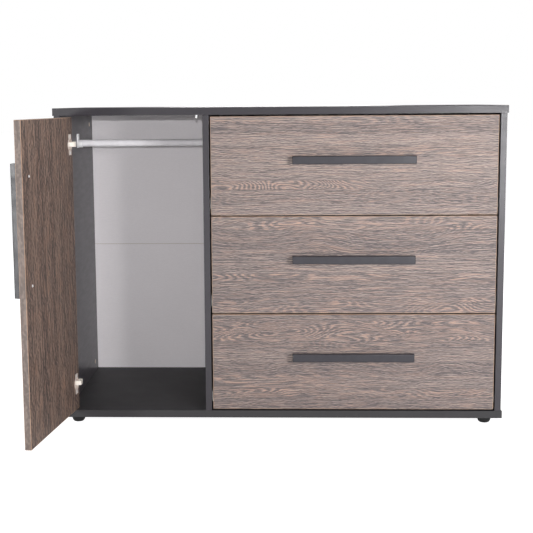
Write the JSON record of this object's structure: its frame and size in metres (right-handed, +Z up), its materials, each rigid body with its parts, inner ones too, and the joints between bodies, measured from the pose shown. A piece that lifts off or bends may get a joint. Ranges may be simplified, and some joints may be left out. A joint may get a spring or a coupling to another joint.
{
  "type": "chest of drawers",
  "caption": "Low chest of drawers: graphite board carcass with an inset oak-print door over a hanging compartment and a stack of inset drawers on roller runners.",
  "frame": {"origin": "on the floor, centre of the underside of the front left foot", "axes": "+X to the right along the front, +Y from the front to the back, +Z up"},
  "size_m": [1.3469, 0.9029, 0.939],
  "materials": {
    "graphite_board": "satin melamine coated chipboard",
    "oak_board": "matt smoked oak print with pore structure",
    "grey_hardboard": "satin pale grey lacquered hardboard",
    "drawer_board": "satin grey foil on chipboard",
    "joining_tape": "matt",
    "zinc_steel": "zinc plated",
    "nickel_steel": "nickel plated, bright",
    "rail_chrome": "chrome plated tube",
    "anthracite_metal": "fine matt anthracite",
    "runner_steel": "white stoved enamel",
    "roller_plastic": "smooth white nylon",
    "white_plastic": "smooth white",
    "black_plastic": "fine moulded grain",
    "beech": "raw fluted dowel"
  },
  "bodies": {
    "cabinet": {"top_panel": "graphite_board", "bottom_panel": "graphite_board", "left_side_panel": "graphite_board", "divider_panel": "graphite_board", "right_side_panel": "graphite_board", "back_panel_upper": "grey_hardboard", "back_panel_lower": "grey_hardboard", "back_joining_strip": "joining_tape", "back_nails": "zinc_steel", "cam_locks": "zinc_steel", "cam_bolts": "zinc_steel", "dowels": "beech", "feet": "black_plastic", "hanging_rail": "rail_chrome", "rail_sockets": "white_plastic", "door_stop": "white_plastic", "hinge_plates": "nickel_steel", "hinge_arms": "nickel_steel", "cabinet_screws": "zinc_steel", "drawer_1_cabinet_runners": "runner_steel", "drawer_2_cabinet_runners": "runner_steel", "drawer_3_cabinet_runners": "runner_steel"},
    "door": {"door_panel": "oak_board", "door_handle": "anthracite_metal", "door_handle_screws": "zinc_steel", "hinge_cups": "nickel_steel", "hinge_cup_screws": "zinc_steel"},
    "drawer_1": {"drawer_1_front": "oak_board", "drawer_1_left_side": "drawer_board", "drawer_1_right_side": "drawer_board", "drawer_1_back": "drawer_board", "drawer_1_bottom": "grey_hardboard", "drawer_1_handle": "anthracite_metal", "drawer_1_handle_screws": "zinc_steel", "drawer_1_cam_fittings": "zinc_steel", "drawer_1_runners": "runner_steel"},
    "front_rollers_1": {"drawer_1_front_rollers": "roller_plastic"},
    "rear_rollers_1": {"drawer_1_rear_rollers": "roller_plastic"},
    "drawer_2": {"drawer_2_front": "oak_board", "drawer_2_left_side": "drawer_board", "drawer_2_right_side": "drawer_board", "drawer_2_back": "drawer_board", "drawer_2_bottom": "grey_hardboard", "drawer_2_handle": "anthracite_metal", "drawer_2_handle_screws": "zinc_steel", "drawer_2_cam_fittings": "zinc_steel", "drawer_2_runners": "runner_steel"},
    "front_rollers_2": {"drawer_2_front_rollers": "roller_plastic"},
    "rear_rollers_2": {"drawer_2_rear_rollers": "roller_plastic"},
    "drawer_3": {"drawer_3_front": "oak_board", "drawer_3_left_side": "drawer_board", "drawer_3_right_side": "drawer_board", "drawer_3_back": "drawer_board", "drawer_3_bottom": "grey_hardboard", "drawer_3_handle": "anthracite_metal", "drawer_3_handle_screws": "zinc_steel", "drawer_3_cam_fittings": "zinc_steel", "drawer_3_runners": "runner_steel"},
    "front_rollers_3": {"drawer_3_front_rollers": "roller_plastic"},
    "rear_rollers_3": {"drawer_3_rear_rollers": "roller_plastic"}
  },
  "joints": [
    {"name": "door_hinge", "type": "hinge", "parent": "cabinet", "child": "door", "pos_m": [-0.0055, -0.0335, 0.47975], "axis": [0, 0, 1], "range_deg": [-13, 97]},
    {"name": "drawer_1_slide", "type": "slide", "parent": "cabinet", "child": "drawer_1", "axis": [0, -1, 0], "range_m": [0, 0.34]},
    {"name": "drawer_2_slide", "type": "slide", "parent": "cabinet", "child": "drawer_2", "axis": [0, -1, 0], "range_m": [0, 0.34]},
    {"name": "drawer_3_slide", "type": "slide", "parent": "cabinet", "child": "drawer_3", "axis": [0, -1, 0], "range_m": [0, 0.34]},
    {"name": "front_rollers_1_spin", "type": "hinge", "parent": "cabinet", "child": "front_rollers_1", "pos_m": [0.824, -0.006, 0.6554], "axis": [1, 0, 0], "range_deg": [-10, 2200]},
    {"name": "rear_rollers_1_spin", "type": "hinge", "parent": "drawer_1", "child": "rear_rollers_1", "pos_m": [0.824, 0.414, 0.6549], "axis": [1, 0, 0], "range_deg": [-10, 2320]},
    {"name": "front_rollers_2_spin", "type": "hinge", "parent": "cabinet", "child": "front_rollers_2", "pos_m": [0.824, -0.006, 0.3664], "axis": [1, 0, 0], "range_deg": [-10, 2200]},
    {"name": "rear_rollers_2_spin", "type": "hinge", "parent": "drawer_2", "child": "rear_rollers_2", "pos_m": [0.824, 0.414, 0.3659], "axis": [1, 0, 0], "range_deg": [-10, 2320]},
    {"name": "front_rollers_3_spin", "type": "hinge", "parent": "cabinet", "child": "front_rollers_3", "pos_m": [0.824, -0.006, 0.0774], "axis": [1, 0, 0], "range_deg": [-10, 2200]},
    {"name": "rear_rollers_3_spin", "type": "hinge", "parent": "drawer_3", "child": "rear_rollers_3", "pos_m": [0.824, 0.414, 0.0769], "axis": [1, 0, 0], "range_deg": [-10, 2320]}
  ],
  "couplings": [
    {"joint": "front_rollers_1_spin", "follows": "drawer_1_slide", "rad_per_m": 111.11},
    {"joint": "rear_rollers_1_spin", "follows": "drawer_1_slide", "rad_per_m": 117.65},
    {"joint": "front_rollers_2_spin", "follows": "drawer_2_slide", "rad_per_m": 111.11},
    {"joint": "rear_rollers_2_spin", "follows": "drawer_2_slide", "rad_per_m": 117.65},
    {"joint": "front_rollers_3_spin", "follows": "drawer_3_slide", "rad_per_m": 111.11},
    {"joint": "rear_rollers_3_spin", "follows": "drawer_3_slide", "rad_per_m": 117.65}
  ]
}
